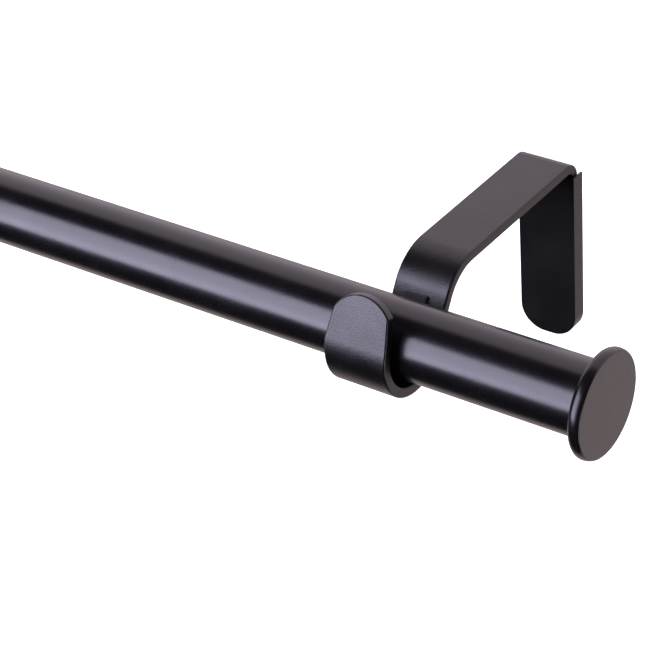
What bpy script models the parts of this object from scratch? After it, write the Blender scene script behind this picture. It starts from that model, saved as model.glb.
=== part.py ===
"""Telescoping curtain rod on two hook brackets, as separate solids.

Metres, +Z up. The wall is the plane y = 0 and +Y points into it. The origin is
the middle of the right bracket's wall plate. The rod runs along X, with the
fixed outer tube on the right and the extending inner tube on the left.
"""

import math

import bmesh
import bpy
from mathutils import Matrix, Vector

# ---------------------------------------------------------------- rod
OUTER_R = 0.0127
INNER_R = 0.0110
TUBE_WALL = 0.0008
OVERALL_LENGTH = 0.762
TUBE_STEPS = 48
GAP = 0.0003
# from a bracket's centre line to the face of the end cap beside it
CAP_REACH = 0.0814
# from the left bracket's centre line to the outer tube's mouth
MOUTH_OFFSET = 0.0400
# inboard end of the inner tube, to the right of the right bracket
INNER_TUBE_END = 0.0400
# bush in the outer tube's mouth
BUSH_GAP = 0.00025
COLLAR_LIP = 0.0015
COLLAR_SPIGOT = 0.0180
COLLAR_CHAMFER = 0.0004
# flanged plug in the inner tube's inboard end
GLIDE_HEAD = 0.0050
GLIDE_STEM = 0.0120
GLIDE_WALL = 0.0022
GLIDE_CHAMFER = 0.0010

# ---------------------------------------------------------------- end caps
CAP_R = 0.01825
CAP_FACE_R = 0.0173
CAP_BACK_R = 0.0156
CAP_THICKNESS = 0.0049
# height of the rim's widest circle above the disc's back face
CAP_CREST = 0.0026
CAP_HOLE_DEPTH = 0.0032
CAP_SCREW_R = 0.0017
CAP_SCREW_HEAD_R = 0.0034
CAP_SCREW_HEAD = 0.0022
CAP_SCREW_POINT = 0.0004
PLUG_LENGTH = 0.0200
PLUG_WALL = 0.0020
PLUG_WEB = 0.0025
PLUG_RIBS = 4
PLUG_RIB = 0.0006

# ---------------------------------------------------------------- brackets
# wall to rod axis, and rod axis above the middle of the wall plate
PROJECTION = 0.1062
ROD_RISE = 0.02535
BAR_T = 0.0036
BAR_HALF = 0.0103
HOOK_HALF = 0.01175
BAR_EDGE = 0.0007
# hook, measured from the rod axis
CRADLE_R = 0.0152
CRADLE_LIFT = 0.00046
# how much tighter the cradle bends under the tab than under the leg
CRADLE_TIGHTER = 0.0005
TAB_LEAN = math.radians(18.0)
# the tab's arched end, from the line where the tab leaves the cradle
TAB_LENGTH = 0.0171
TAB_ARCH_R = 0.0122
# how far the tab's axis runs off the middle, and how much its sides close in
TAB_SHIFT = 0.00025
TAB_ARCH_SHIFT = 0.0013
TAB_LEFT_TAPER = 0.19
TAB_RIGHT_TAPER = 0.06
LEG_LEAN = math.radians(31.8)
FRONT_BEND_R = 0.0190
ARM_TOP = 0.01384
WALL_BEND_R = 0.0065
# grip pad lining the hook
PAD_T = 0.0012
PAD_HALF = 0.00415
PAD_SHIFT = -0.0006
PAD_GAP = 0.0002
PAD_UP_LEG = 0.0130
PAD_UP_TAB = 0.0060
PAD_EDGE = 0.00025

# ---------------------------------------------------------------- wall end
COVER_HALF = 0.0112
COVER_HEIGHT = 0.0671
COVER_DEPTH = 0.0059
COVER_SKIN = 0.0007
COVER_CORNER_R = 0.0095
COVER_EDGE = 0.0004
PLATE_T = 0.0012
PLATE_TOP = 0.0310
LEG_BACK = 0.0014
END_GAP = 0.0003
WALL_SCREW_Z = (0.0190, -0.0210)
WALL_SCREW_R = 0.0024
WALL_SCREW_SINK_R = 0.0045
PLATE_SCREW_Z = -0.0080
PLATE_SCREW_R = 0.0015
PLATE_SCREW_HEAD_R = 0.0029
# how far the plate screw's head lies below the leg, and its tip short of the wall
PLATE_SCREW_SINK = 0.0001
PLATE_SCREW_STOP = 0.0002
# width and height of one arm of a screw's cross recess
PLATE_RECESS = (0.0028, 0.0007)
CAP_RECESS = (0.0030, 0.0008)
RECESS_DEPTH = 0.0020
# how far a cutter reaches past the face that it opens
CUT_PAST = 0.0010

BRACKET_SPACING = OVERALL_LENGTH - 2 * CAP_REACH
# the left bracket sits higher, so that the thinner tube lies level
LEFT_RISE = OUTER_R - INNER_R
OUTER_BORE = OUTER_R - TUBE_WALL
INNER_BORE = INNER_R - TUBE_WALL


# ---------------------------------------------------------------- scene set-up
def clear_scene():
    """Remove every object, so that the script can be run again."""
    for obj in list(bpy.data.objects):
        bpy.data.objects.remove(obj, do_unlink=True)


def make_collection(name):
    collection = bpy.data.collections.new(name)
    bpy.context.scene.collection.children.link(collection)
    return collection


def make_material(name, colour, roughness, metallic):
    material = bpy.data.materials.new(name)
    material.use_nodes = True
    shader = material.node_tree.nodes["Principled BSDF"]
    shader.inputs["Base Color"].default_value = (*colour, 1.0)
    shader.inputs["Roughness"].default_value = roughness
    shader.inputs["Metallic"].default_value = metallic
    return material


clear_scene()
PARTS = make_collection("curtain_rod_with_brackets")
CUTTERS = make_collection("cutters")

# colour, roughness, metallic
FINISHES = {
    "rod_enamel": ((0.030, 0.028, 0.032), 0.38, 0.3),
    "cap_enamel": ((0.045, 0.041, 0.042), 0.42, 0.3),
    "bracket_enamel": ((0.034, 0.031, 0.034), 0.48, 0.3),
    "rubber": ((0.015, 0.015, 0.016), 0.85, 0.0),
    "black_plastic": ((0.020, 0.020, 0.021), 0.50, 0.0),
    "zinc_steel": ((0.55, 0.56, 0.58), 0.35, 1.0),
}


# ---------------------------------------------------------------- mesh helpers
def add_part(name, mesh, finish, collection=None):
    """Put a mesh in the scene as a named part with its own material."""
    obj = bpy.data.objects.new(name, mesh)
    (collection or PARTS).objects.link(obj)
    if finish:
        mesh.materials.append(make_material(name, *FINISHES[finish]))
    return obj


def add_bevel(obj, width, segments=2):
    bevel = obj.modifiers.new("edges", "BEVEL")
    bevel.width = width
    bevel.segments = segments
    bevel.limit_method = "ANGLE"
    bevel.angle_limit = math.radians(50)


def cut(obj, cutter):
    """Subtract a cutter, which stays hidden in its own collection."""
    cutter.hide_render = True
    cutter.display_type = "WIRE"
    boolean = obj.modifiers.new("cut", "BOOLEAN")
    boolean.operation = "DIFFERENCE"
    boolean.solver = "EXACT"
    boolean.object = cutter


def smooth(mesh):
    mesh.shade_smooth()
    mesh.set_sharp_from_angle(angle=math.radians(35))


def turned(name, profile, x, side, z, finish, closed=True, steps=TUBE_STEPS):
    """Turn a profile of (radius, height) points about the rod's direction.

    The profile runs down its outer side. Its height points along +X for side 1
    and along -X for side -1, counted from x. A profile that isn't closed starts
    and ends on the axis.
    """
    mesh = bpy.data.meshes.new(name)
    vertices = [(radius, 0.0, height) for radius, height in profile]
    edges = [(i, i + 1) for i in range(len(profile) - 1)]
    if closed:
        edges.append((len(profile) - 1, 0))
    mesh.from_pydata(vertices, edges, [])
    obj = add_part(name, mesh, finish)
    screw = obj.modifiers.new("turn", "SCREW")
    screw.steps = steps
    screw.render_steps = steps
    screw.use_merge_vertices = True
    screw.merge_threshold = 0.00001
    screw.use_smooth_shade = True
    obj.rotation_euler = (0.0, side * math.pi / 2, 0.0)
    obj.location = (x, -PROJECTION, z)
    return obj


def arc(centre, radius, start, end, steps):
    """Points along an arc, from the start angle to the end angle."""
    points = []
    for i in range(steps + 1):
        angle = start + (end - start) * i / steps
        points.append((centre[0] + radius * math.cos(angle), centre[1] + radius * math.sin(angle)))
    return points


def slab(name, outline, front, back, finish=None):
    """A flat plate parallel to the wall, from an outline of (x, z) points."""
    curve = bpy.data.curves.new(name, "CURVE")
    curve.dimensions = "2D"
    curve.fill_mode = "BOTH"
    curve.extrude = (back - front) / 2
    spline = curve.splines.new("POLY")
    spline.points.add(len(outline) - 1)
    for point, (x, z) in zip(spline.points, outline):
        point.co = (x, z, 0.0, 1.0)
    spline.use_cyclic_u = True
    shape = bpy.data.objects.new(name + "_outline", curve)
    PARTS.objects.link(shape)
    shape.location = (0.0, (front + back) / 2, 0.0)
    shape.rotation_euler = (math.pi / 2, 0.0, 0.0)
    bpy.context.view_layer.update()
    evaluated = shape.evaluated_get(bpy.context.evaluated_depsgraph_get())
    mesh = bpy.data.meshes.new_from_object(evaluated)
    mesh.name = name
    mesh.transform(shape.matrix_world)
    bpy.data.objects.remove(shape, do_unlink=True)
    weld = bmesh.new()
    weld.from_mesh(mesh)
    bmesh.ops.remove_doubles(weld, verts=weld.verts, dist=0.00001)
    weld.to_mesh(mesh)
    weld.free()
    return add_part(name, mesh, finish, PARTS if finish else CUTTERS)


def tombstone(half, bottom, top, corner_r):
    """Outline with a straight top and two round lower corners."""
    left = arc((corner_r - half, bottom + corner_r), corner_r, math.pi, 1.5 * math.pi, 8)
    right = arc((half - corner_r, bottom + corner_r), corner_r, 1.5 * math.pi, 2 * math.pi, 8)
    return [(-half, top)] + left + right + [(half, top)]


def wall_peg(name, sections, z):
    """A round body standing out of the wall, from (radius, y) sections, front first."""
    mesh = bpy.data.meshes.new(name)
    vertices = [(0.0, 0.0, -sections[0][1])]
    vertices += [(radius, 0.0, -y) for radius, y in sections]
    vertices.append((0.0, 0.0, -sections[-1][1]))
    edges = [(i, i + 1) for i in range(len(vertices) - 1)]
    mesh.from_pydata(vertices, edges, [])
    obj = bpy.data.objects.new(name, mesh)
    CUTTERS.objects.link(obj)
    screw = obj.modifiers.new("turn", "SCREW")
    screw.steps = 24
    screw.render_steps = 24
    screw.use_merge_vertices = True
    screw.merge_threshold = 0.00001
    obj.rotation_euler = (math.pi / 2, 0.0, 0.0)
    obj.location = (0.0, 0.0, z)
    return obj


# ---------------------------------------------------------------- rod
def build_rod():
    left = -BRACKET_SPACING
    tube_right_end = CAP_REACH - CAP_THICKNESS - GAP
    mouth = left + MOUTH_OFFSET
    tube("outer_tube", OUTER_R, OUTER_BORE, mouth, tube_right_end)
    tube("inner_tube", INNER_R, INNER_BORE, left - tube_right_end, INNER_TUBE_END)
    bush_in = INNER_R + BUSH_GAP
    bush_out = OUTER_BORE - BUSH_GAP
    profile = [
        (bush_in, COLLAR_LIP),
        (OUTER_R - COLLAR_CHAMFER, COLLAR_LIP),
        (OUTER_R, COLLAR_LIP - COLLAR_CHAMFER),
        (OUTER_R, 0.0),
        (bush_out, 0.0),
        (bush_out, -COLLAR_SPIGOT),
        (bush_in, -COLLAR_SPIGOT),
    ]
    turned("mouth_collar", profile, mouth - GAP, -1, ROD_RISE, "black_plastic")
    head_r = OUTER_BORE - GAP
    stem_r = INNER_BORE - GAP
    stem_bore = stem_r - GLIDE_WALL
    profile = [
        (stem_bore, GLIDE_HEAD),
        (head_r - GLIDE_CHAMFER, GLIDE_HEAD),
        (head_r, GLIDE_HEAD - GLIDE_CHAMFER),
        (head_r, 0.0),
        (stem_r, 0.0),
        (stem_r, -GLIDE_STEM),
        (stem_bore, -GLIDE_STEM),
    ]
    turned("glide_plug", profile, INNER_TUBE_END + GAP, 1, ROD_RISE, "black_plastic")


def tube(name, radius, bore, x_low, x_high):
    """A plain round tube along X."""
    length = x_high - x_low
    profile = [(radius, length), (radius, 0.0), (bore, 0.0), (bore, length)]
    return turned(name, profile, x_low, 1, ROD_RISE, "rod_enamel")


# ---------------------------------------------------------------- end caps
def build_cap(side_name, side, bore, back_x):
    """Cap disc, plug and screw at one end; back_x is the disc's back face."""
    hole_r = CAP_SCREW_R + GAP
    disc = [(0.0, CAP_THICKNESS)]
    disc += cap_rim()
    disc += [(hole_r, 0.0), (hole_r, CAP_HOLE_DEPTH), (0.0, CAP_HOLE_DEPTH)]
    turned("cap_disc_" + side_name, disc, back_x, side, ROD_RISE, "cap_enamel", closed=False)

    plug_r = bore - GAP
    plug_in = plug_r - PLUG_WALL
    root_r = plug_r - PLUG_RIB
    top = -2.0 * GAP
    plug = [(hole_r, top), (root_r, top)]
    rib = PLUG_LENGTH / PLUG_RIBS
    for i in range(PLUG_RIBS):
        start = top - i * rib
        plug.append((plug_r, start - 0.3 * rib))
        plug.append((root_r, start - 0.9 * rib))
    plug += [(root_r, top - PLUG_LENGTH), (plug_in, top - PLUG_LENGTH)]
    plug += [(plug_in, top - PLUG_WEB), (hole_r, top - PLUG_WEB)]
    turned("cap_plug_" + side_name, plug, back_x, side, ROD_RISE, "black_plastic", steps=40)

    head_top = top - PLUG_WEB - GAP
    tip = CAP_HOLE_DEPTH - GAP
    screw = [
        (0.0, tip),
        (CAP_SCREW_R - CAP_SCREW_POINT, tip),
        (CAP_SCREW_R, tip - CAP_SCREW_POINT),
        (CAP_SCREW_R, head_top),
        (CAP_SCREW_HEAD_R, head_top),
        (CAP_SCREW_HEAD_R, head_top - 0.6 * CAP_SCREW_HEAD),
        (0.7 * CAP_SCREW_HEAD_R, head_top - CAP_SCREW_HEAD),
        (0.0, head_top - CAP_SCREW_HEAD),
    ]
    name = "cap_screw_" + side_name
    body = turned(name, screw, back_x, side, ROD_RISE, "zinc_steel", closed=False, steps=24)
    head_x = back_x + side * (head_top - CAP_SCREW_HEAD)
    for slot, (width, height) in enumerate((CAP_RECESS, CAP_RECESS[::-1])):
        cutter = box_cutter("%s_recess_%d" % (name, slot), (RECESS_DEPTH, width, height))
        cutter.location = (head_x, -PROJECTION, ROD_RISE)
        cut(body, cutter)


def cap_rim(steps=4):
    """Rounded rim of the cap disc: from the face's edge over the crest to the back."""
    front_depth = CAP_THICKNESS - CAP_CREST
    front = []
    back = []
    for i in range(steps + 1):
        angle = 0.5 * math.pi * i / steps
        bulge = CAP_FACE_R + (CAP_R - CAP_FACE_R) * math.sin(angle)
        front.append((bulge, CAP_CREST + front_depth * math.cos(angle)))
        tuck = CAP_BACK_R + (CAP_R - CAP_BACK_R) * math.cos(angle)
        back.append((tuck, CAP_CREST * (1.0 - math.sin(angle))))
    return front + back[1:]


def box_cutter(name, size):
    mesh = bpy.data.meshes.new(name)
    box = bmesh.new()
    bmesh.ops.create_cube(box, size=1.0, matrix=Matrix.Diagonal((*size, 1.0)))
    box.to_mesh(mesh)
    box.free()
    return add_part(name, mesh, None, CUTTERS)


# ---------------------------------------------------------------- bracket bar
def hook_arc(radius):
    """Points (y, z) of the hook's cradle about the rod axis, from the tab to the leg.

    The front arc is the tighter one, and a short flat joins it to the back arc.
    """
    forward = CRADLE_TIGHTER * (1.0 + math.sin(TAB_LEAN)) / math.cos(TAB_LEAN)
    front = (-forward, CRADLE_LIFT - CRADLE_TIGHTER)
    bottom = -0.5 * math.pi
    points = arc(front, radius - CRADLE_TIGHTER, -math.pi - TAB_LEAN, bottom, 14)
    return points + arc((0.0, CRADLE_LIFT), radius, bottom, -LEG_LEAN, 12)


def along(point, lean, distance):
    """The point at a distance up a line that leans back from the vertical."""
    return (point[0] + distance * math.sin(lean), point[1] + distance * math.cos(lean))


def tab_outline(foot, steps=26):
    """The tab's arched end as (x, y, z) points, from its left side to its right."""
    points = []
    for i in range(steps + 1):
        angle = math.pi * (1.0 - i / steps)
        height = TAB_LENGTH - TAB_ARCH_R * (1.0 - math.sin(angle))
        left = TAB_SHIFT - HOOK_HALF + TAB_LEFT_TAPER * height
        right = TAB_SHIFT + HOOK_HALF - TAB_RIGHT_TAPER * height
        x = TAB_ARCH_SHIFT + TAB_ARCH_R * math.cos(angle)
        points.append((min(max(x, left), right), *along(foot, TAB_LEAN, height)))
    return points


def bar_path():
    """Rows (y, z, left, right) of the bent bar's middle sheet, and its two end outlines.

    The rows run from the tab's foot to the wall bend, and left and right are the bar's
    reaches to either side of the bracket's middle. The outlines are (x, y, z) points.
    """
    middle = CRADLE_R + BAR_T / 2
    cradle = hook_arc(middle)
    # the hook is wider than the arm, and narrows up the back of the cradle
    sweep = 0.5 * math.pi - LEG_LEAN
    rows = []
    for y, z in cradle:
        turn = math.atan2(y, CRADLE_LIFT - z)
        share = min(1.0, max(0.0, turn / sweep))
        blend = share * share * (3.0 - 2.0 * share)
        half = HOOK_HALF + (BAR_HALF - HOOK_HALF) * blend
        shift = TAB_SHIFT * min(1.0, max(0.0, -turn / (0.5 * math.pi)))
        rows.append((y, z, half - shift, half + shift))

    front_r = FRONT_BEND_R - BAR_T / 2
    bend_z = ARM_TOP - FRONT_BEND_R
    leg_length = (bend_z + front_r * math.sin(LEG_LEAN) - cradle[-1][1]) / math.cos(LEG_LEAN)
    leg_end = along(cradle[-1], LEG_LEAN, leg_length)
    bend_centre = (leg_end[0] + front_r * math.cos(LEG_LEAN), bend_z)
    wall_r = WALL_BEND_R - BAR_T / 2
    wall_centre = (PROJECTION - LEG_BACK - WALL_BEND_R, ARM_TOP - WALL_BEND_R)
    bends = arc(bend_centre, front_r, math.pi - LEG_LEAN, 0.5 * math.pi, 12)
    bends += arc(wall_centre, wall_r, 0.5 * math.pi, 0.0, 10)
    rows += [(y, z, BAR_HALF, BAR_HALF) for y, z in bends]

    inset = COVER_SKIN + END_GAP
    foot_z = inset - ROD_RISE - COVER_HEIGHT / 2
    foot = tombstone(BAR_HALF, foot_z, 0.0, COVER_CORNER_R - inset)[1:-1]
    leg_y = rows[-1][0]
    return rows, tab_outline(cradle[0]), [(x, leg_y, z) for x, z in reversed(foot)]


def bent_strip(name, rows, start, end, x, z_shift, thickness, edge, finish):
    """A sheet across the given rows, thickened evenly to both sides.

    start and end outline its flat ends: start from left to right, end from right to left.
    """
    corner = Vector((x, -PROJECTION, ROD_RISE + z_shift))
    strip = bmesh.new()
    pairs = []
    for y, z, left, right in rows:
        pair = (Vector((-left, y, z)), Vector((right, y, z)))
        pairs.append([strip.verts.new(corner + point) for point in pair])
    for (left_a, right_a), (left_b, right_b) in zip(pairs, pairs[1:]):
        strip.faces.new((left_a, right_a, right_b, left_b))
    for (first, last), outline in ((pairs[0][::-1], start), (pairs[-1], end)):
        loop = [strip.verts.new(corner + Vector(point)) for point in outline]
        strip.faces.new((first, last, *loop))
    mesh = bpy.data.meshes.new(name)
    strip.to_mesh(mesh)
    strip.free()
    obj = add_part(name, mesh, finish)
    solid = obj.modifiers.new("thickness", "SOLIDIFY")
    solid.thickness = thickness
    solid.offset = 0.0
    solid.use_even_offset = True
    add_bevel(obj, edge)
    return obj


# ---------------------------------------------------------------- one bracket
def build_bracket(side_name, x, rise):
    """Bent bar, grip pad, wall plate, plate screw and leg cover of one bracket."""
    bar = bent_strip(
        "bracket_" + side_name, *bar_path(), x, rise, BAR_T, BAR_EDGE, "bracket_enamel"
    )
    build_pad(side_name, x, rise)

    bottom = -COVER_HEIGHT / 2
    inset = COVER_SKIN + END_GAP
    outline = tombstone(COVER_HALF - inset, bottom + inset, PLATE_TOP, COVER_CORNER_R - inset)
    plate = slab("wall_plate_" + side_name, outline, -PLATE_T, 0.0, "zinc_steel")
    leg_front = -LEG_BACK - BAR_T

    sections = sunk_hole(WALL_SCREW_R, WALL_SCREW_SINK_R, leg_front)
    pegs = []
    for i, z in enumerate(WALL_SCREW_Z):
        pegs.append(wall_peg("wall_screw_hole_%s_%d" % (side_name, i), sections, z))
    sections = sunk_hole(PLATE_SCREW_R + GAP, PLATE_SCREW_HEAD_R + GAP, leg_front)
    pegs.append(wall_peg("plate_screw_hole_" + side_name, sections, PLATE_SCREW_Z))
    for peg in pegs:
        peg.location.x = x
        peg.location.z += rise
        cut(bar, peg)
        cut(plate, peg)

    screw = build_plate_screw(side_name, leg_front)
    cover = build_cover(side_name)
    for obj in (plate, screw, cover):
        obj.location.x += x
        obj.location.z += rise


def sunk_hole(radius, head_r, front):
    """Sections of a countersunk hole that opens to head_r at the leg's front face."""
    return [
        (head_r + CUT_PAST, front - CUT_PAST),
        (radius, front + head_r - radius),
        (radius, CUT_PAST),
    ]


def build_pad(side_name, x, rise):
    """Rubber strip lining the hook, from part way up the tab to up the leg."""
    cradle = hook_arc(CRADLE_R - PAD_GAP - PAD_T / 2)
    rows = [(y, z, PAD_HALF, PAD_HALF) for y, z in cradle]
    tip = along(cradle[0], TAB_LEAN, PAD_UP_TAB)
    end = along(cradle[-1], LEG_LEAN, PAD_UP_LEG)
    bent_strip(
        "grip_pad_" + side_name,
        rows,
        [(-PAD_HALF, *tip), (PAD_HALF, *tip)],
        [(PAD_HALF, *end), (-PAD_HALF, *end)],
        x + PAD_SHIFT, rise, PAD_T, PAD_EDGE, "rubber",
    )


def build_plate_screw(side_name, leg_front):
    """Countersunk screw that joins the leg to the wall plate."""
    name = "plate_screw_" + side_name
    slope = PLATE_SCREW_HEAD_R - PLATE_SCREW_R
    head = leg_front + PLATE_SCREW_SINK
    sections = [
        (PLATE_SCREW_HEAD_R, head),
        (PLATE_SCREW_R, head + slope),
        (PLATE_SCREW_R, -PLATE_SCREW_STOP),
    ]
    screw = wall_peg(name, sections, PLATE_SCREW_Z)
    CUTTERS.objects.unlink(screw)
    PARTS.objects.link(screw)
    screw.data.materials.append(make_material(name, *FINISHES["zinc_steel"]))
    for slot, (width, height) in enumerate((PLATE_RECESS, PLATE_RECESS[::-1])):
        cutter = box_cutter("%s_recess_%d" % (name, slot), (width, RECESS_DEPTH, height))
        cutter.parent = screw
        cutter.matrix_parent_inverse = Matrix.Rotation(-math.pi / 2, 4, "X")
        cutter.location = (0.0, head, 0.0)
        cut(screw, cutter)
    return screw


def build_cover(side_name):
    """Shell that slides up over the leg, open at the top and at the wall."""
    bottom = -COVER_HEIGHT / 2
    top = COVER_HEIGHT / 2
    outline = tombstone(COVER_HALF, bottom, top, COVER_CORNER_R)
    cover = slab("leg_cover_" + side_name, outline, -COVER_DEPTH, 0.0, "bracket_enamel")
    add_bevel(cover, COVER_EDGE)
    hollow = tombstone(
        COVER_HALF - COVER_SKIN, bottom + COVER_SKIN, top + CUT_PAST, COVER_CORNER_R - COVER_SKIN
    )
    cutter = slab("cover_hollow_" + side_name, hollow, COVER_SKIN - COVER_DEPTH, CUT_PAST)
    cutter.parent = cover
    cut(cover, cutter)
    return cover


# ---------------------------------------------------------------- assembly
def build():
    cap_back = CAP_REACH - CAP_THICKNESS
    build_rod()
    build_cap("right", 1, OUTER_BORE, cap_back)
    build_cap("left", -1, INNER_BORE, -BRACKET_SPACING - cap_back)
    build_bracket("right", 0.0, 0.0)
    build_bracket("left", -BRACKET_SPACING, LEFT_RISE)
    for obj in PARTS.objects:
        smooth(obj.data)


build()
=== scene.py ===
"""Looks of a telescoping curtain rod on two hook brackets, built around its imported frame.

Metres, in the frame's own axes: the wall is y = 0, +Y points into it, and the rod
runs along X. Every piece is rebuilt with finer edges and rides on its own body.
"""

import math

import bmesh
import bpy
from mathutils import Matrix, Vector


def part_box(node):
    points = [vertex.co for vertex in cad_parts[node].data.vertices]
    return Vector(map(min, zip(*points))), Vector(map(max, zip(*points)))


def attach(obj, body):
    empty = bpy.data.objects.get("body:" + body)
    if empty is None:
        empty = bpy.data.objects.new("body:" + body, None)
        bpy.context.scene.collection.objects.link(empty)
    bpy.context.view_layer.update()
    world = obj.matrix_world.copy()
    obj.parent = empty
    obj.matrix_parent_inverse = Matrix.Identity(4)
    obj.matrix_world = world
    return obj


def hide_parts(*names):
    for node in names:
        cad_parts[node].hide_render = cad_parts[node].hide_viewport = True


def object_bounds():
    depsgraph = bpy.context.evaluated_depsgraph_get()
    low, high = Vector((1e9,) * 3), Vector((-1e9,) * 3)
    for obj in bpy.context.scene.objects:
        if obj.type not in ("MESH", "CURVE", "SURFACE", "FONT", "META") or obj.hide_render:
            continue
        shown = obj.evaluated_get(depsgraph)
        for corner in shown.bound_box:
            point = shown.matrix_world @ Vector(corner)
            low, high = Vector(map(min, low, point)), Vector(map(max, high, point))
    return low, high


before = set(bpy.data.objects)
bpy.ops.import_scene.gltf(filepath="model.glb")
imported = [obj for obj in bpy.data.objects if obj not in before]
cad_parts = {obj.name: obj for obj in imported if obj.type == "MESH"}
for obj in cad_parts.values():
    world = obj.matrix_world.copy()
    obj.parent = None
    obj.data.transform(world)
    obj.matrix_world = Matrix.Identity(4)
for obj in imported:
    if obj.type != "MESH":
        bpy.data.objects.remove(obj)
CAD_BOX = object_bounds()


# ---------------------------------------------------------------- sizes read from the frame
def middle(node, axis):
    low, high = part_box(node)
    return (low[axis] + high[axis]) / 2


def extent(node, axis):
    low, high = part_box(node)
    return high[axis] - low[axis]


X, Y, Z = range(3)
ROD_Y = middle("outer_tube", Y)
ROD_Z = middle("outer_tube", Z)
OUTER_R = extent("outer_tube", Z) / 2
INNER_R = extent("inner_tube", Z) / 2
CAP_R = extent("cap_disc_right", Z) / 2
CAP_THICKNESS = extent("cap_disc_right", X)
COVER_HALF = extent("leg_cover_right", X) / 2
COVER_HEIGHT = extent("leg_cover_right", Z)
COVER_DEPTH = extent("leg_cover_right", Y)
PLATE_T = extent("wall_plate_right", Y)
PLATE_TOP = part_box("wall_plate_right")[1].z
PAD_HALF = extent("grip_pad_right", X) / 2

# ---------------------------------------------------------------- sizes of the design
TUBE_WALL = 0.0008
TUBE_EDGE = 0.00022
GAP = 0.0003
# two meshes' points closer than this are one point
WELD = 0.000002
# bush in the outer tube's mouth
BUSH_GAP = 0.00025
COLLAR_LIP = 0.0015
COLLAR_EDGE = 0.0005
# flanged plug in the inner tube's inboard end
GLIDE_HEAD = 0.0050
GLIDE_WALL = 0.0022
GLIDE_EDGE = 0.0007
# end caps
CAP_FACE_R = 0.0173
CAP_BACK_R = 0.0156
CAP_CREST = 0.0026
# how far a surface of the cap leans towards its end before it has the glossier coat
CAP_FACE_LEAN = 0.85
CAP_HOLE_DEPTH = 0.0032
CAP_SCREW_R = 0.0017
CAP_SCREW_HEAD_R = 0.0034
CAP_SCREW_HEAD = 0.0022
CAP_SCREW_PITCH = 0.0007
CAP_SCREW_THREAD = 0.00035
# the screw head's underside edge, and the share of its radius that is flat on top
CAP_SCREW_RIM = 0.0002
CAP_SCREW_FLAT = 0.55
PLUG_LENGTH = 0.0200
PLUG_WALL = 0.0020
PLUG_WEB = 0.0025
PLUG_RIBS = 4
PLUG_RIB = 0.0006
PLUG_LEAD = 0.0008
PLUG_EDGE = 0.0003
# bent bar, about the rod's axis
BAR_T = 0.0036
BAR_HALF = 0.0103
HOOK_HALF = 0.01175
BAR_EDGE = 0.0007
CRADLE_R = 0.0152
CRADLE_LIFT = 0.00046
# how much tighter the cradle bends under the tab than under the leg
CRADLE_TIGHTER = 0.0005
TAB_LEAN = math.radians(18.0)
TAB_LENGTH = 0.0171
TAB_ARCH_R = 0.0122
# how far the tab's axis runs off the middle, and how much its sides close in
TAB_SHIFT = 0.00025
TAB_ARCH_SHIFT = 0.0013
TAB_LEFT_TAPER = 0.19
TAB_RIGHT_TAPER = 0.06
LEG_LEAN = math.radians(31.8)
FRONT_BEND_R = 0.0190
ARM_TOP = 0.01384
WALL_BEND_R = 0.0065
PAD_T = 0.0012
PAD_SHIFT = -0.0006
PAD_GAP = 0.0002
PAD_UP_LEG = 0.0130
PAD_UP_TAB = 0.0060
PAD_EDGE = 0.0003
# wall end
COVER_SKIN = 0.0007
COVER_CORNER_R = 0.0095
COVER_EDGE = 0.00045
LEG_BACK = 0.0014
WALL_SCREW_Z = (0.0190, -0.0210)
WALL_SCREW_R = 0.0024
WALL_SCREW_SINK_R = 0.0045
PLATE_SCREW_Z = -0.0080
PLATE_SCREW_R = 0.0015
PLATE_SCREW_HEAD_R = 0.0029
# how far the plate screw's head lies below the leg, and its tip short of the wall
PLATE_SCREW_SINK = 0.0001
PLATE_SCREW_STOP = 0.0002
PLATE_SCREW_RIM = 0.0001
PLATE_SCREW_PITCH = 0.0005
PLATE_SCREW_THREAD = 0.00025
PLATE_EDGE = 0.00015
# inner corners of the cover's hollow
HOLLOW_EDGE = 0.0003
# width and height of one arm of a screw's cross recess
PLATE_RECESS = (0.0028, 0.0007)
CAP_RECESS = (0.0030, 0.0008)
RECESS_DEPTH = 0.0020
# how far a cutter reaches past the face that it opens
CUT_PAST = 0.0010

OUTER_BORE = OUTER_R - TUBE_WALL
INNER_BORE = INNER_R - TUBE_WALL
SIDES = {"right": 1, "left": -1}


# ---------------------------------------------------------------- mesh helpers
def arc(centre, radius, start, end, steps):
    """Points along an arc, from the start angle to the end angle."""
    points = []
    for i in range(steps + 1):
        angle = start + (end - start) * i / steps
        points.append((centre[0] + radius * math.cos(angle), centre[1] + radius * math.sin(angle)))
    return points


def fillet(points, radius, steps=5, closed=True):
    """Round every corner of an outline of 2D points by up to the given radius."""
    rounded = []
    count = len(points)
    for i, point in enumerate(points):
        if not closed and i in (0, count - 1):
            rounded.append(point)
            continue
        here = Vector(point)
        before = Vector(points[i - 1]) - here
        after = Vector(points[(i + 1) % count]) - here
        angle = before.angle(after)
        reach = radius / math.tan(angle / 2)
        reach = min(reach, 0.45 * before.length, 0.45 * after.length)
        start = here + before.normalized() * reach
        end = here + after.normalized() * reach
        for k in range(steps + 1):
            t = k / steps
            bend = start * (1 - t) ** 2 + here * (2 * t * (1 - t)) + end * t ** 2
            rounded.append((bend.x, bend.y))
    return rounded


def to_object(name, mesh):
    obj = bpy.data.objects.new(name, mesh)
    bpy.context.scene.collection.objects.link(obj)
    return obj


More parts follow.
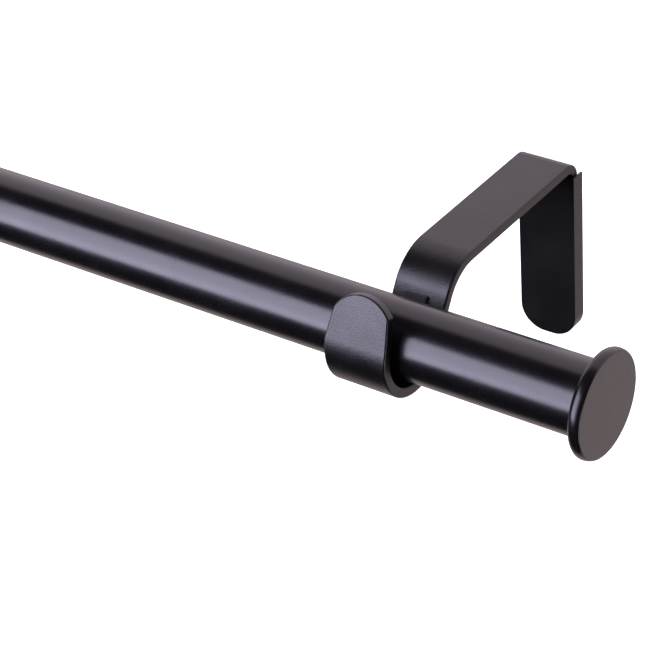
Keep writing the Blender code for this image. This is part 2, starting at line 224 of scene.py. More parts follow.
def lathe(name, profile, x, side, z, steps, closed=True):
    """Turn (radius, height) points about the rod's direction.

    Height points along +X for side 1 and along -X for side -1, counted from x. A
    profile that isn't closed starts and ends on the axis.
    """
    shape = bmesh.new()
    verts = [shape.verts.new((height * side, 0.0, radius)) for radius, height in profile]
    for a, b in zip(verts, verts[1:]):
        shape.edges.new((a, b))
    if closed:
        shape.edges.new((verts[-1], verts[0]))
    bmesh.ops.spin(
        shape,
        geom=shape.verts[:] + shape.edges[:],
        cent=(0, 0, 0),
        axis=(1, 0, 0),
        angle=2 * math.pi,
        steps=steps,
        use_merge=True,
    )
    bmesh.ops.remove_doubles(shape, verts=shape.verts, dist=WELD)
    bmesh.ops.recalc_face_normals(shape, faces=shape.faces)
    bmesh.ops.translate(shape, verts=shape.verts, vec=(x, ROD_Y, z))
    mesh = bpy.data.meshes.new(name)
    shape.to_mesh(mesh)
    shape.free()
    return to_object(name, mesh)


def add_bevel(obj, width, segments=4):
    bevel = obj.modifiers.new("edges", "BEVEL")
    bevel.width = width
    bevel.segments = segments
    bevel.limit_method = "ANGLE"
    bevel.angle_limit = math.radians(50)


def cut(obj, cutter):
    boolean = obj.modifiers.new("cut", "BOOLEAN")
    boolean.operation = "DIFFERENCE"
    boolean.solver = "EXACT"
    boolean.object = cutter


def finish_mesh(obj, *cutters):
    """Apply the modifiers, shade smooth, and keep the flat faces flat."""
    flat = obj.modifiers.new("flat faces", "WEIGHTED_NORMAL")
    flat.keep_sharp = True
    obj.data.shade_smooth()
    flat.show_viewport = False
    bpy.context.view_layer.update()
    graph = bpy.context.evaluated_depsgraph_get()
    mesh = bpy.data.meshes.new_from_object(obj.evaluated_get(graph))
    for modifier in list(obj.modifiers):
        if modifier != flat:
            obj.modifiers.remove(modifier)
    obj.data = mesh
    mesh.shade_smooth()
    mesh.set_sharp_from_angle(angle=math.radians(40))
    flat.show_viewport = True
    for cutter in cutters:
        bpy.data.objects.remove(cutter, do_unlink=True)
    return obj


def slab(name, outlines, front, back):
    """A flat plate parallel to the wall, from outlines of (x, z) points."""
    curve = bpy.data.curves.new(name, "CURVE")
    curve.dimensions = "2D"
    curve.fill_mode = "BOTH"
    curve.extrude = (back - front) / 2
    for outline in outlines:
        spline = curve.splines.new("POLY")
        spline.points.add(len(outline) - 1)
        for point, (x, z) in zip(spline.points, outline):
            point.co = (x, z, 0.0, 1.0)
        spline.use_cyclic_u = True
    shape = to_object(name + "_outline", curve)
    shape.location = (0.0, (front + back) / 2, 0.0)
    shape.rotation_euler = (math.pi / 2, 0.0, 0.0)
    bpy.context.view_layer.update()
    graph = bpy.context.evaluated_depsgraph_get()
    mesh = bpy.data.meshes.new_from_object(shape.evaluated_get(graph))
    mesh.name = name
    mesh.transform(shape.matrix_world)
    bpy.data.objects.remove(shape, do_unlink=True)
    weld = bmesh.new()
    weld.from_mesh(mesh)
    bmesh.ops.remove_doubles(weld, verts=weld.verts, dist=WELD)
    weld.to_mesh(mesh)
    weld.free()
    return to_object(name, mesh)


def circle(centre, radius, steps=48):
    return arc(centre, radius, 0.0, 2 * math.pi * (steps - 1) / steps, steps - 1)


def tombstone(half, bottom, top, corner_r, steps=20):
    """Outline with a straight top and two round lower corners."""
    left = arc((corner_r - half, bottom + corner_r), corner_r, math.pi, 1.5 * math.pi, steps)
    right = arc((half - corner_r, bottom + corner_r), corner_r, 1.5 * math.pi, 2 * math.pi, steps)
    return [(-half, top)] + left + right + [(half, top)]


def wall_peg(name, sections, x, z, steps=48):
    """A round body standing out of the wall, from (radius, y) sections, front first."""
    shape = bmesh.new()
    points = [(0.0, sections[0][1])] + list(sections) + [(0.0, sections[-1][1])]
    verts = [shape.verts.new((radius, y, 0.0)) for radius, y in points]
    for a, b in zip(verts, verts[1:]):
        shape.edges.new((a, b))
    bmesh.ops.spin(
        shape,
        geom=shape.verts[:] + shape.edges[:],
        cent=(0, 0, 0),
        axis=(0, 1, 0),
        angle=2 * math.pi,
        steps=steps,
        use_merge=True,
    )
    bmesh.ops.remove_doubles(shape, verts=shape.verts, dist=WELD)
    bmesh.ops.recalc_face_normals(shape, faces=shape.faces)
    bmesh.ops.translate(shape, verts=shape.verts, vec=(x, 0.0, z))
    mesh = bpy.data.meshes.new(name)
    shape.to_mesh(mesh)
    shape.free()
    return to_object(name, mesh)


def box_cutter(name, size, place):
    mesh = bpy.data.meshes.new(name)
    box = bmesh.new()
    bmesh.ops.create_cube(box, size=1.0, matrix=Matrix.Diagonal((*size, 1.0)))
    bmesh.ops.translate(box, verts=box.verts, vec=place)
    box.to_mesh(mesh)
    box.free()
    return to_object(name, mesh)


# ---------------------------------------------------------------- materials
class Nodes:
    """Short calls for one material's node tree."""

    def __init__(self, name):
        self.material = bpy.data.materials.new(name)
        self.material.use_nodes = True
        self.tree = self.material.node_tree
        self.shader = self.tree.nodes["Principled BSDF"]
        self.place = self.add("ShaderNodeTexCoord").outputs["Object"]

    def add(self, kind, **values):
        node = self.tree.nodes.new(kind)
        for key, value in values.items():
            setattr(node, key, value)
        return node

    def link(self, source, node, socket):
        self.tree.links.new(source, node.inputs[socket])

    def noise(self, scale, detail=2.0, roughness=0.5, stretch=None):
        node = self.add("ShaderNodeTexNoise")
        node.inputs["Scale"].default_value = scale
        node.inputs["Detail"].default_value = detail
        node.inputs["Roughness"].default_value = roughness
        source = self.place
        if stretch:
            mapping = self.add("ShaderNodeMapping")
            mapping.inputs["Scale"].default_value = stretch
            self.link(source, mapping, "Vector")
            source = mapping.outputs["Vector"]
        self.link(source, node, "Vector")
        return node.outputs["Fac"]

    def span(self, source, low, high):
        """Map a noise's middle range onto low to high."""
        node = self.add("ShaderNodeMapRange")
        node.inputs["From Min"].default_value = 0.35
        node.inputs["From Max"].default_value = 0.65
        node.inputs["To Min"].default_value = low
        node.inputs["To Max"].default_value = high
        self.link(source, node, "Value")
        return node.outputs["Result"]

    def colours(self, source, stops):
        node = self.add("ShaderNodeValToRGB")
        ramp = node.color_ramp
        while len(ramp.elements) < len(stops):
            ramp.elements.new(0.5)
        for element, (position, colour) in zip(ramp.elements, stops):
            element.position = position
            element.color = (*colour, 1.0)
        self.link(source, node, "Fac")
        return node.outputs["Color"]

    def bump(self, source, distance, onto=None):
        node = self.add("ShaderNodeBump")
        node.inputs["Strength"].default_value = 1.0
        node.inputs["Distance"].default_value = distance
        self.link(source, node, "Height")
        if onto:
            self.link(onto, node, "Normal")
        return node.outputs["Normal"]


def powder_coat(name, specular, dark, light, rough, grain, grain_depth, peel, peel_depth):
    """Satin coating: fine grain on a slow orange peel, with uneven gloss.

    dark and light are its colours and rough its range of roughness. grain and peel are
    how fine the two textures are, each with its depth in metres.
    """
    nodes = Nodes(name)
    specks = nodes.noise(grain, detail=2.0, roughness=0.6)
    waves = nodes.noise(peel, detail=1.0)
    patches = nodes.noise(60.0, detail=3.0, roughness=0.6)
    nodes.link(nodes.colours(specks, ((0.3, dark), (0.7, light))), nodes.shader, "Base Color")
    nodes.link(nodes.span(patches, rough[0], rough[1]), nodes.shader, "Roughness")
    normal = nodes.bump(waves, peel_depth)
    nodes.link(nodes.bump(specks, grain_depth, onto=normal), nodes.shader, "Normal")
    nodes.shader.inputs["Specular IOR Level"].default_value = specular
    return nodes.material


def rubber(name):
    """Matt black rubber with a dusty, faintly pitted skin."""
    nodes = Nodes(name)
    pits = nodes.noise(3200.0, detail=3.0, roughness=0.7)
    dust = nodes.noise(420.0, detail=4.0, roughness=0.6)
    nodes.link(
        nodes.colours(dust, ((0.3, (0.006, 0.006, 0.007)), (0.75, (0.020, 0.019, 0.020)))),
        nodes.shader,
        "Base Color",
    )
    nodes.link(nodes.span(dust, 0.62, 0.82), nodes.shader, "Roughness")
    nodes.link(nodes.bump(pits, 0.00004), nodes.shader, "Normal")
    return nodes.material


def moulded_plastic(name):
    """Black plastic with a spark-eroded texture."""
    nodes = Nodes(name)
    texture = nodes.noise(2600.0, detail=2.0, roughness=0.5)
    flow = nodes.noise(90.0, detail=2.0)
    nodes.link(
        nodes.colours(flow, ((0.3, (0.008, 0.008, 0.009)), (0.7, (0.014, 0.014, 0.015)))),
        nodes.shader,
        "Base Color",
    )
    nodes.link(nodes.span(texture, 0.42, 0.56), nodes.shader, "Roughness")
    nodes.link(nodes.bump(texture, 0.00003), nodes.shader, "Normal")
    return nodes.material


def zinc_plate(name):
    """Bright zinc on rolled steel: drawn lines, a blue haze and dull patches."""
    nodes = Nodes(name)
    lines = nodes.noise(900.0, detail=3.0, roughness=0.6, stretch=(1.0, 1.0, 0.06))
    haze = nodes.noise(110.0, detail=4.0, roughness=0.65)
    nodes.link(
        nodes.colours(haze, ((0.25, (0.42, 0.45, 0.50)), (0.55, (0.56, 0.58, 0.60)),
                             (0.8, (0.66, 0.65, 0.60)))),
        nodes.shader,
        "Base Color",
    )
    nodes.link(nodes.span(haze, 0.24, 0.44), nodes.shader, "Roughness")
    nodes.link(nodes.bump(lines, 0.00002), nodes.shader, "Normal")
    nodes.shader.inputs["Metallic"].default_value = 1.0
    return nodes.material


# a cap's face and rim share a coating, and only its gloss differs
CAP_COAT = {
    "dark": (0.0018, 0.0014, 0.0014),
    "light": (0.0030, 0.0024, 0.0024),
    "rough": (0.24, 0.29),
    "grain": 1900.0,
    "grain_depth": 0.000006,
    "peel": 240.0,
    "peel_depth": 0.000008,
}
MATERIALS = {
    "rod_enamel": powder_coat(
        "rod_enamel", 0.43, dark=(0.0012, 0.0010, 0.0014), light=(0.0024, 0.0021, 0.0027),
        rough=(0.23, 0.28), grain=1900.0, grain_depth=0.000008, peel=260.0, peel_depth=0.000010,
    ),
    "cap_enamel": powder_coat("cap_enamel", 0.38, **CAP_COAT),
    "cap_face_enamel": powder_coat("cap_face_enamel", 0.80, **CAP_COAT),
    "bracket_enamel": powder_coat(
        "bracket_enamel", 0.42, dark=(0.0008, 0.0006, 0.0006), light=(0.0018, 0.0014, 0.0015),
        rough=(0.30, 0.36), grain=1900.0, grain_depth=0.000072, peel=300.0, peel_depth=0.000010,
    ),
    "rubber": rubber("rubber"),
    "black_plastic": moulded_plastic("black_plastic"),
    "zinc_steel": zinc_plate("zinc_steel"),
}


def place_piece(obj, slot, body, *nodes):
    """Paint a finished piece, hang it on its body and let it stand for its CAD nodes."""
    obj.data.materials.clear()
    obj.data.materials.append(MATERIALS[slot])
    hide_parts(*nodes)
    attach(obj, body)


# ---------------------------------------------------------------- rod
def build_tube(node, radius, bore, z, body):
    """A thin round tube with slightly rounded ends."""
    low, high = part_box(node)
    length = high.x - low.x
    corners = [(radius, length), (radius, 0.0), (bore, 0.0), (bore, length)]
    profile = fillet(corners, TUBE_EDGE, steps=3)
    tube = lathe(node + "_shell", profile, low.x, 1, z, steps=160)
    place_piece(finish_mesh(tube), "rod_enamel", body, node)


def build_collar():
    """Plastic bush with a rounded lip, in the outer tube's mouth."""
    low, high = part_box("mouth_collar")
    bush_in = INNER_R + BUSH_GAP
    bush_out = OUTER_BORE - BUSH_GAP
    length = high.x - low.x - COLLAR_LIP
    corners = [
        (bush_in, COLLAR_LIP),
        (OUTER_R, COLLAR_LIP),
        (OUTER_R, 0.0),
        (bush_out, 0.0),
        (bush_out, -length),
        (bush_in, -length),
    ]
    profile = fillet(corners, COLLAR_EDGE)
    collar = lathe("mouth_collar_bush", profile, low.x + COLLAR_LIP, -1, ROD_Z, steps=128)
    place_piece(finish_mesh(collar), "black_plastic", "outer_rod", "mouth_collar")


def build_glide():
    """Hollow flanged plug at the inner tube's inboard end."""
    low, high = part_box("glide_plug")
    head_r = extent("glide_plug", Z) / 2
    stem_r = INNER_BORE - GAP
    bore = stem_r - GLIDE_WALL
    stem = high.x - low.x - GLIDE_HEAD
    corners = [
        (bore, GLIDE_HEAD),
        (head_r, GLIDE_HEAD),
        (head_r, 0.0),
        (stem_r, 0.0),
        (stem_r, -stem),
        (bore, -stem),
    ]
    profile = fillet(corners, GLIDE_EDGE)
    plug = lathe("glide_plug_body", profile, high.x - GLIDE_HEAD, 1, ROD_Z, steps=128)
    place_piece(finish_mesh(plug), "black_plastic", "inner_rod", "glide_plug")


# ---------------------------------------------------------------- end caps
def rim_profile(steps=18):
    """Cap disc's rim: from the face's edge over the crest to the back."""
    front_depth = CAP_THICKNESS - CAP_CREST
    front = []
    back = []
    for i in range(steps + 1):
        angle = 0.5 * math.pi * i / steps
        bulge = CAP_FACE_R + (CAP_R - CAP_FACE_R) * math.sin(angle)
        front.append((bulge, CAP_CREST + front_depth * math.cos(angle)))
        tuck = CAP_BACK_R + (CAP_R - CAP_BACK_R) * math.cos(angle)
        back.append((tuck, CAP_CREST * (1.0 - math.sin(angle))))
    return front + back[1:]


def coat_cap_face(cap, side):
    """Give the flat end, and the edge round it, a glossier coat than the rim."""
    cap.data.materials.append(MATERIALS["cap_face_enamel"])
    for face in cap.data.polygons:
        if face.normal.x * side > CAP_FACE_LEAN:
            face.material_index = 1


def build_cap(side_name, bore):
    """Disc, ribbed plug and screw of one end cap."""
    side = SIDES[side_name]
    body = "cap_" + side_name
    low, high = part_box("cap_disc_" + side_name)
    back_x = low.x if side > 0 else high.x
    hole_r = CAP_SCREW_R + GAP
    disc = [(0.0, CAP_THICKNESS)]
    disc += rim_profile()
    disc += [(hole_r, 0.0), (hole_r, CAP_HOLE_DEPTH), (0.0, CAP_HOLE_DEPTH)]
    shape = lathe("end_cap_" + side_name, disc, back_x, side, ROD_Z, steps=192, closed=False)
    place_piece(finish_mesh(shape), "cap_enamel", body, "cap_disc_" + side_name)
    coat_cap_face(shape, side)

    plug_r = bore - GAP
    plug_in = plug_r - PLUG_WALL
    top = -2 * GAP
    root_r = plug_r - PLUG_RIB
    plug = [(hole_r, top), (plug_r - PLUG_LEAD, top)]
    rib = PLUG_LENGTH / PLUG_RIBS
    for i in range(PLUG_RIBS):
        start = top - i * rib
        plug.append((plug_r, start - 0.3 * rib))
        plug.append((root_r, start - 0.9 * rib))
    plug += [(root_r, top - PLUG_LENGTH), (plug_in, top - PLUG_LENGTH)]
    plug += [(plug_in, top - PLUG_WEB), (hole_r, top - PLUG_WEB)]
    profile = fillet(plug, PLUG_EDGE, 4)
    shape = lathe("ribbed_plug_" + side_name, profile, back_x, side, ROD_Z, steps=96)
    place_piece(finish_mesh(shape), "black_plastic", body, "cap_plug_" + side_name)
    build_cap_screw(side_name, back_x, top - PLUG_WEB - GAP)


def build_cap_screw(side_name, back_x, head_top):
    """Pan-head screw with a cross recess, its thread turned up to the disc."""
    side = SIDES[side_name]
    tip = CAP_HOLE_DEPTH - GAP
    root_r = CAP_SCREW_R - CAP_SCREW_THREAD
    profile = [(0.0, tip)]
    turns = int((tip - head_top) / CAP_SCREW_PITCH)
    for i in range(turns):
        start = tip - i * CAP_SCREW_PITCH
        profile.append((root_r, start - 0.05 * CAP_SCREW_PITCH))
        profile.append((CAP_SCREW_R, start - 0.45 * CAP_SCREW_PITCH))
        profile.append((CAP_SCREW_R, start - 0.55 * CAP_SCREW_PITCH))
    profile.append((root_r, head_top))
    profile.append((CAP_SCREW_HEAD_R - CAP_SCREW_RIM, head_top))
    flat_r = CAP_SCREW_FLAT * CAP_SCREW_HEAD_R
    for reach, drop in arc((0.0, 0.0), 1.0, 0.0, -0.5 * math.pi, 8):
        radius = flat_r + (CAP_SCREW_HEAD_R - flat_r) * reach
        profile.append((radius, head_top + CAP_SCREW_HEAD * drop))
    profile.append((0.0, head_top - CAP_SCREW_HEAD))
    name = "cap_screw_body_" + side_name
    screw = lathe(name, profile, back_x, side, ROD_Z, steps=48, closed=False)
    head_x = back_x + side * (head_top - CAP_SCREW_HEAD)
    cutters = []
    place = (head_x, ROD_Y, ROD_Z)
    for i, (width, height) in enumerate((CAP_RECESS, CAP_RECESS[::-1])):
        cutters.append(box_cutter("recess_%d" % i, (RECESS_DEPTH, width, height), place))
        cut(screw, cutters[-1])
    body = "cap_" + side_name
    place_piece(finish_mesh(screw, *cutters), "zinc_steel", body, "cap_screw_" + side_name)


# ---------------------------------------------------------------- bent bar
def hook_arc(radius):
    """Points (y, z) of the hook's cradle about the rod axis, from the tab to the leg.

    The front arc is the tighter one, and a short flat joins it to the back arc.
    """
    forward = CRADLE_TIGHTER * (1.0 + math.sin(TAB_LEAN)) / math.cos(TAB_LEAN)
    front = (-forward, CRADLE_LIFT - CRADLE_TIGHTER)
    bottom = -0.5 * math.pi
    points = arc(front, radius - CRADLE_TIGHTER, -math.pi - TAB_LEAN, bottom, 40)
    return points + arc((0.0, CRADLE_LIFT), radius, bottom, -LEG_LEAN, 32)


def along(point, lean, distance):
    """The point at a distance up a line that leans back from the vertical."""
    return (point[0] + distance * math.sin(lean), point[1] + distance * math.cos(lean))


def tab_outline(foot, steps=80):
    """The tab's arched end as (x, y, z) points, from its left side to its right."""
    points = []
    for i in range(steps + 1):
        angle = math.pi * (1.0 - i / steps)
        height = TAB_LENGTH - TAB_ARCH_R * (1.0 - math.sin(angle))
        left = TAB_SHIFT - HOOK_HALF + TAB_LEFT_TAPER * height
        right = TAB_SHIFT + HOOK_HALF - TAB_RIGHT_TAPER * height
        x = TAB_ARCH_SHIFT + TAB_ARCH_R * math.cos(angle)
        points.append((min(max(x, left), right), *along(foot, TAB_LEAN, height)))
    return points


def bar_path():
    """Rows (y, z, left, right) of the bent bar's middle sheet, and its two end outlines.

    The rows run from the tab's foot to the wall bend, and left and right are the bar's
    reaches to either side of the bracket's middle. The outlines are (x, y, z) points.
    """
    cradle = hook_arc(CRADLE_R + BAR_T / 2)
    # the hook is wider than the arm, and narrows up the back of the cradle
    sweep = 0.5 * math.pi - LEG_LEAN
    rows = []
    for y, z in cradle:
        turn = math.atan2(y, CRADLE_LIFT - z)
        share = min(1.0, max(0.0, turn / sweep))
        blend = share * share * (3.0 - 2.0 * share)
        half = HOOK_HALF + (BAR_HALF - HOOK_HALF) * blend
        shift = TAB_SHIFT * min(1.0, max(0.0, -turn / (0.5 * math.pi)))
        rows.append((y, z, half - shift, half + shift))

    front_r = FRONT_BEND_R - BAR_T / 2
    bend_z = ARM_TOP - FRONT_BEND_R
    leg_length = (bend_z + front_r * math.sin(LEG_LEAN) - cradle[-1][1]) / math.cos(LEG_LEAN)
    leg_end = along(cradle[-1], LEG_LEAN, leg_length)
    bend_centre = (leg_end[0] + front_r * math.cos(LEG_LEAN), bend_z)
    wall_r = WALL_BEND_R - BAR_T / 2
    wall_centre = (-ROD_Y - LEG_BACK - WALL_BEND_R, ARM_TOP - WALL_BEND_R)
    bends = arc(bend_centre, front_r, math.pi - LEG_LEAN, 0.5 * math.pi, 30)
    bends += arc(wall_centre, wall_r, 0.5 * math.pi, 0.0, 24)
    rows += [(y, z, BAR_HALF, BAR_HALF) for y, z in bends]

    inset = COVER_SKIN + GAP
    foot_z = inset - ROD_Z - COVER_HEIGHT / 2
    foot = tombstone(BAR_HALF, foot_z, 0.0, COVER_CORNER_R - inset)[1:-1]
    leg_y = rows[-1][0]
    return rows, tab_outline(cradle[0]), [(x, leg_y, z) for x, z in reversed(foot)]


def bent_strip(name, rows, start, end, x, rise, thickness, edge, segments):
    """A sheet across the given rows, thickened evenly to both sides.

    start and end outline its flat ends: start from left to right, end from right to left.
    """
    corner = Vector((x, ROD_Y, ROD_Z + rise))
    strip = bmesh.new()
    pairs = []
    for y, z, left, right in rows:
        pair = (Vector((-left, y, z)), Vector((right, y, z)))
        pairs.append([strip.verts.new(corner + point) for point in pair])
    for (left_a, right_a), (left_b, right_b) in zip(pairs, pairs[1:]):
        strip.faces.new((left_a, right_a, right_b, left_b))
    for (first, last), outline in ((pairs[0][::-1], start), (pairs[-1], end)):
        loop = [strip.verts.new(corner + Vector(point)) for point in outline]
        strip.faces.new((first, last, *loop))
    mesh = bpy.data.meshes.new(name)
    strip.to_mesh(mesh)
    strip.free()
    obj = to_object(name, mesh)
    solid = obj.modifiers.new("thickness", "SOLIDIFY")
    solid.thickness = thickness
    solid.offset = 0.0
    solid.use_even_offset = True
    add_bevel(obj, edge, segments)
    return obj


# ---------------------------------------------------------------- one bracket
def build_bracket(side_name):
    """Bent bar, grip pad, wall plate, plate screw and leg cover of one bracket."""
    x = middle("wall_plate_" + side_name, X)
    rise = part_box("wall_plate_" + side_name)[1].z - PLATE_TOP
    body = "wall_bracket_" + side_name
    leg_front = -LEG_BACK - BAR_T

    bar = bent_strip("bent_bar_" + side_name, *bar_path(), x, rise, BAR_T, BAR_EDGE, 4)
    sections = sunk_hole(WALL_SCREW_R, WALL_SCREW_SINK_R, leg_front)
    pegs = []
    for i, z in enumerate(WALL_SCREW_Z):
        pegs.append(wall_peg("wall_screw_hole_%d" % i, sections, x, z + rise))
    sections = sunk_hole(PLATE_SCREW_R + GAP, PLATE_SCREW_HEAD_R + GAP, leg_front)
    pegs.append(wall_peg("plate_screw_hole", sections, x, PLATE_SCREW_Z + rise))
    for peg in pegs:
        cut(bar, peg)
    place_piece(finish_mesh(bar, *pegs), "bracket_enamel", body, "bracket_" + side_name)

    build_pad(side_name, x, rise, body)
    build_plate(side_name, x, rise, body)
    build_plate_screw(side_name, x, rise, leg_front, body)
    build_cover(side_name, x, rise)


def sunk_hole(radius, head_r, front):
    """Sections of a countersunk hole that opens to head_r at the leg's front face."""
    return [
        (head_r + CUT_PAST, front - CUT_PAST),
        (radius, front + head_r - radius),
        (radius, CUT_PAST),
    ]


def build_pad(side_name, x, rise, body):
    """Rubber strip lining the hook, from part way up the tab to up the leg."""
    cradle = hook_arc(CRADLE_R - PAD_GAP - PAD_T / 2)
    rows = [(y, z, PAD_HALF, PAD_HALF) for y, z in cradle]
    tip = along(cradle[0], TAB_LEAN, PAD_UP_TAB)
    end = along(cradle[-1], LEG_LEAN, PAD_UP_LEG)
    start = [(-PAD_HALF, *tip), (PAD_HALF, *tip)]
    end = [(PAD_HALF, *end), (-PAD_HALF, *end)]
    place = (x + PAD_SHIFT, rise)
    pad = bent_strip("grip_strip_" + side_name, rows, start, end, *place, PAD_T, PAD_EDGE, 3)
    place_piece(finish_mesh(pad), "rubber", body, "grip_pad_" + side_name)


def shift(obj, x, rise):
    obj.data.transform(Matrix.Translation((x, 0.0, rise)))


def build_plate(side_name, x, rise, body):
    """Thin punched plate between the leg and the wall."""
    inset = COVER_SKIN + GAP
    bottom = -COVER_HEIGHT / 2 + inset
    outlines = [tombstone(COVER_HALF - inset, bottom, PLATE_TOP, COVER_CORNER_R - inset)]
    for z in WALL_SCREW_Z:
        outlines.append(circle((0.0, z), WALL_SCREW_R))
    outlines.append(circle((0.0, PLATE_SCREW_Z), PLATE_SCREW_R + GAP))
    plate = slab("punched_plate_" + side_name, outlines, -PLATE_T, 0.0)
    shift(plate, x, rise)
    add_bevel(plate, PLATE_EDGE, 2)
    place_piece(finish_mesh(plate), "zinc_steel", body, "wall_plate_" + side_name)


def build_plate_screw(side_name, x, rise, leg_front, body):
    """Countersunk screw with a cross recess, joining the leg to the plate."""
    slope = PLATE_SCREW_HEAD_R - PLATE_SCREW_R
    head = leg_front + PLATE_SCREW_SINK
    root_r = PLATE_SCREW_R - PLATE_SCREW_THREAD
    end = -PLATE_SCREW_STOP
    sections = [
        (PLATE_SCREW_HEAD_R - PLATE_SCREW_RIM, head),
        (PLATE_SCREW_HEAD_R, head + PLATE_SCREW_RIM),
        (PLATE_SCREW_R, head + PLATE_SCREW_RIM + slope),
    ]
    y = head + slope + 0.0004
    while y + PLATE_SCREW_PITCH < end - 0.0002:
        sections.append((root_r, y))
        sections.append((PLATE_SCREW_R, y + 0.4 * PLATE_SCREW_PITCH))
        sections.append((PLATE_SCREW_R, y + 0.6 * PLATE_SCREW_PITCH))
        y += PLATE_SCREW_PITCH
    sections.append((PLATE_SCREW_R - 0.0003, end))
    screw = wall_peg("plate_screw_body_" + side_name, sections, x, PLATE_SCREW_Z + rise)
    cutters = []
    place = (x, head, PLATE_SCREW_Z + rise)
    for i, (width, height) in enumerate((PLATE_RECESS, PLATE_RECESS[::-1])):
        cutters.append(box_cutter("recess_%d" % i, (width, RECESS_DEPTH, height), place))
        cut(screw, cutters[-1])
    place_piece(finish_mesh(screw, *cutters), "zinc_steel", body, "plate_screw_" + side_name)


def build_cover(side_name, x, rise):
    """Thin shell over the leg, open at the top and at the wall."""
    bottom = -COVER_HEIGHT / 2
    top = COVER_HEIGHT / 2
    outline = tombstone(COVER_HALF, bottom, top, COVER_CORNER_R)
    cover = slab("cover_shell_" + side_name, [outline], -COVER_DEPTH, 0.0)
    hollow = tombstone(
        COVER_HALF - COVER_SKIN, bottom + COVER_SKIN, top + CUT_PAST, COVER_CORNER_R - COVER_SKIN
    )
    cutter = slab("cover_hollow", [hollow], COVER_SKIN - COVER_DEPTH, CUT_PAST)
    add_bevel(cutter, HOLLOW_EDGE, 2)
    shift(cover, x, rise)
    shift(cutter, x, rise)
    add_bevel(cover, COVER_EDGE, 4)
    cut(cover, cutter)
    place_piece(
        finish_mesh(cover, cutter), "bracket_enamel", "cover_" + side_name, "leg_cover_" + side_name
    )


# ---------------------------------------------------------------- camera
VIEW_AZIMUTH = math.radians(37.484)
VIEW_ELEVATION = math.radians(33.701)
VIEW_ROLL = math.radians(-4.547)
VIEW_DISTANCE = 0.79995
# the aim, from the point on the rod's axis over the right bracket
VIEW_AIM = Vector((-0.02457, 0.0, -0.00520))
VIEW_LENS = 135.1
SENSOR = 36.0


def build_camera():
    data = bpy.data.cameras.new("camera")
    data.lens = VIEW_LENS
    data.sensor_width = SENSOR
    data.clip_start = 0.01
    data.clip_end = 30.0
    camera = bpy.data.objects.new("camera", data)
    bpy.context.scene.collection.objects.link(camera)
    flat = math.cos(VIEW_ELEVATION)
    back = Vector((
        math.sin(VIEW_AZIMUTH) * flat, -math.cos(VIEW_AZIMUTH) * flat, math.sin(VIEW_ELEVATION)
    ))
    right = Vector((math.cos(VIEW_AZIMUTH), math.sin(VIEW_AZIMUTH), 0.0))
    up = back.cross(right)
    rolled_right = math.cos(VIEW_ROLL) * right + math.sin(VIEW_ROLL) * up
    rolled_up = math.cos(VIEW_ROLL) * up - math.sin(VIEW_ROLL) * right
    aim = Vector((middle("wall_plate_right", X), ROD_Y, ROD_Z)) + VIEW_AIM
    placed = Matrix((rolled_right, rolled_up, back)).transposed().to_4x4()
    placed.translation = aim + back * VIEW_DISTANCE
    camera.matrix_world = placed
    bpy.context.scene.camera = camera


# ---------------------------------------------------------------- studio
FLOOR_DROP = 0.45
FLOOR_SIZE = 12.0
# the floor's own light, which keeps it pale beyond the reach of the lamps
FLOOR_GLOW = 0.45
# directions from the right bracket to the lights, and their distances
KEY_TOWARD = (-0.506, -0.820, 0.265)
KEY_LOWER_TOWARD = (-0.506, -0.862, -0.011)
EDGE_TOWARD = (0.852, -0.310, -0.423)
UPWARD = (0.0, 0.0, 1.0)
SOFTBOX_DISTANCE = 1.6
OVERHEAD_DISTANCE = 2.6
# light from the surroundings: behind the object, above and below it, and elsewhere
WALL_GLOW = 1.46
TABLE_GLOW = 0.74
ROOM_GLOW = 0.012
KEY_COLOUR = (0.79, 0.76, 1.0)
WALL_TINT = (1.0, 0.87, 1.0, 1.0)
TABLE_TINT = (1.0, 0.84, 0.86, 1.0)
# height over which the table's light turns into the wall's, and how far each reaches
# to the front, all as parts of a unit direction
HORIZON = 0.15
BEHIND_START = -0.12
BEHIND_FULL = 0.04
WALL_LAG = 0.22


def build_floor():
    mesh = bpy.data.meshes.new("floor")
    sheet = bmesh.new()
    bmesh.ops.create_grid(sheet, x_segments=1, y_segments=1, size=FLOOR_SIZE / 2)
    sheet.to_mesh(mesh)
    sheet.free()
    floor = to_object("floor", mesh)
    floor.location = (middle("outer_tube", X), 0.0, CAD_BOX[0].z - FLOOR_DROP)
    nodes = Nodes("floor_paper")
    nodes.link(
        nodes.colours(nodes.noise(3.0), ((0.3, (0.86, 0.86, 0.86)), (0.7, (0.88, 0.88, 0.88)))),
        nodes.shader,
        "Base Color",
    )
    nodes.shader.inputs["Roughness"].default_value = 0.9
    nodes.shader.inputs["Emission Strength"].default_value = FLOOR_GLOW
    mesh.materials.append(nodes.material)
    floor.visible_glossy = False


def softbox(name, direction, distance, size, colour, radiance, glossy=True):
    """A soft light looking at the right bracket from a direction."""
    data = bpy.data.lights.new(name, "AREA")
    data.shape = "RECTANGLE"
    data.size = size[0]
    data.size_y = size[1]
    data.color = colour
    data.energy = radiance * math.pi * size[0] * size[1]
    lamp = bpy.data.objects.new(name, data)
    bpy.context.scene.collection.objects.link(lamp)
    aim = Vector((middle("wall_plate_right", X), ROD_Y, ROD_Z))
    toward = Vector(direction).normalized()
    lamp.location = aim + toward * distance
    lamp.rotation_euler = toward.to_track_quat("Z", "Y").to_euler()
    lamp.visible_camera = False
    lamp.visible_glossy = glossy


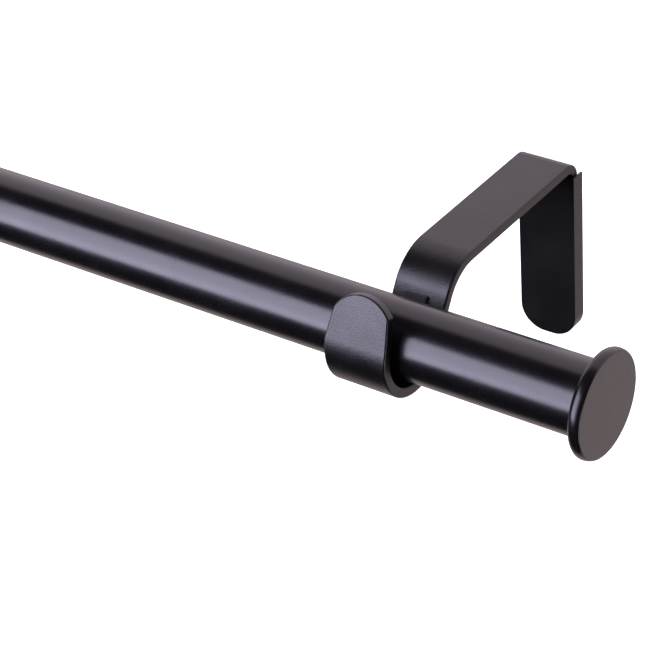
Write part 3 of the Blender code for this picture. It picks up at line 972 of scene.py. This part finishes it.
def build_world():
    """White surround behind and below the object, dim above it and in front."""
    world = bpy.data.worlds.new("studio")
    world.use_nodes = True
    bpy.context.scene.world = world
    tree = world.node_tree
    background = tree.nodes["Background"]
    direction = tree.nodes.new("ShaderNodeTexCoord").outputs["Generated"]
    split = tree.nodes.new("ShaderNodeSeparateXYZ")
    tree.links.new(direction, split.inputs["Vector"])

    def ramp(source, start, end):
        node = tree.nodes.new("ShaderNodeMapRange")
        node.interpolation_type = "SMOOTHSTEP"
        node.inputs["From Min"].default_value = start
        node.inputs["From Max"].default_value = end
        tree.links.new(source, node.inputs["Value"])
        return node.outputs["Result"]

    def combine(operation, a, b):
        node = tree.nodes.new("ShaderNodeMath")
        node.operation = operation
        for socket, value in zip(node.inputs, (a, b)):
            if isinstance(value, float):
                socket.default_value = value
            else:
                tree.links.new(value, socket)
        return node.outputs["Value"]

    # the table's light starts nearer the front than the wall's
    above = ramp(split.outputs["Z"], -HORIZON, HORIZON)
    depth = combine("SUBTRACT", split.outputs["Y"], combine("MULTIPLY", above, WALL_LAG))
    behind = ramp(depth, BEHIND_START, BEHIND_FULL)
    height = combine("ADD", combine("MULTIPLY", above, WALL_GLOW - TABLE_GLOW), TABLE_GLOW)
    level = combine("ADD", combine("MULTIPLY", behind, height), ROOM_GLOW)
    tint = tree.nodes.new("ShaderNodeValToRGB")
    tint.color_ramp.elements[0].color = TABLE_TINT
    tint.color_ramp.elements[1].color = WALL_TINT
    tree.links.new(above, tint.inputs["Fac"])
    tree.links.new(tint.outputs["Color"], background.inputs["Color"])
    tree.links.new(level, background.inputs["Strength"])
    # the camera itself sees plain white
    white = tree.nodes.new("ShaderNodeBackground")
    white.inputs["Color"].default_value = (1.0, 1.0, 1.0, 1.0)
    seen = tree.nodes.new("ShaderNodeMixShader")
    camera_ray = tree.nodes.new("ShaderNodeLightPath").outputs["Is Camera Ray"]
    tree.links.new(camera_ray, seen.inputs["Fac"])
    tree.links.new(background.outputs["Background"], seen.inputs[1])
    tree.links.new(white.outputs["Background"], seen.inputs[2])
    tree.links.new(seen.outputs["Shader"], tree.nodes["World Output"].inputs["Surface"])


def build_lights():
    softbox("key_softbox", KEY_TOWARD, SOFTBOX_DISTANCE, (1.3, 1.50), KEY_COLOUR, 9.0)
    softbox("key_lower_part", KEY_LOWER_TOWARD, SOFTBOX_DISTANCE, (1.3, 0.52), KEY_COLOUR, 2.1)
    softbox("edge_softbox", EDGE_TOWARD, SOFTBOX_DISTANCE, (0.45, 1.2), KEY_COLOUR, 8.0)
    white = (1.0, 1.0, 1.0)
    softbox("floor_light", UPWARD, OVERHEAD_DISTANCE, (3.0, 3.0), white, 4.0, glossy=False)


# ---------------------------------------------------------------- assembly
def build():
    build_tube("outer_tube", OUTER_R, OUTER_BORE, ROD_Z, "outer_rod")
    build_tube("inner_tube", INNER_R, INNER_BORE, ROD_Z, "inner_rod")
    build_collar()
    build_glide()
    build_cap("right", OUTER_BORE)
    build_cap("left", INNER_BORE)
    build_bracket("right")
    build_bracket("left")
    build_camera()
    build_floor()
    build_world()
    build_lights()
    scene = bpy.context.scene
    scene.view_settings.view_transform = "Standard"
    scene.view_settings.look = "None"


build()
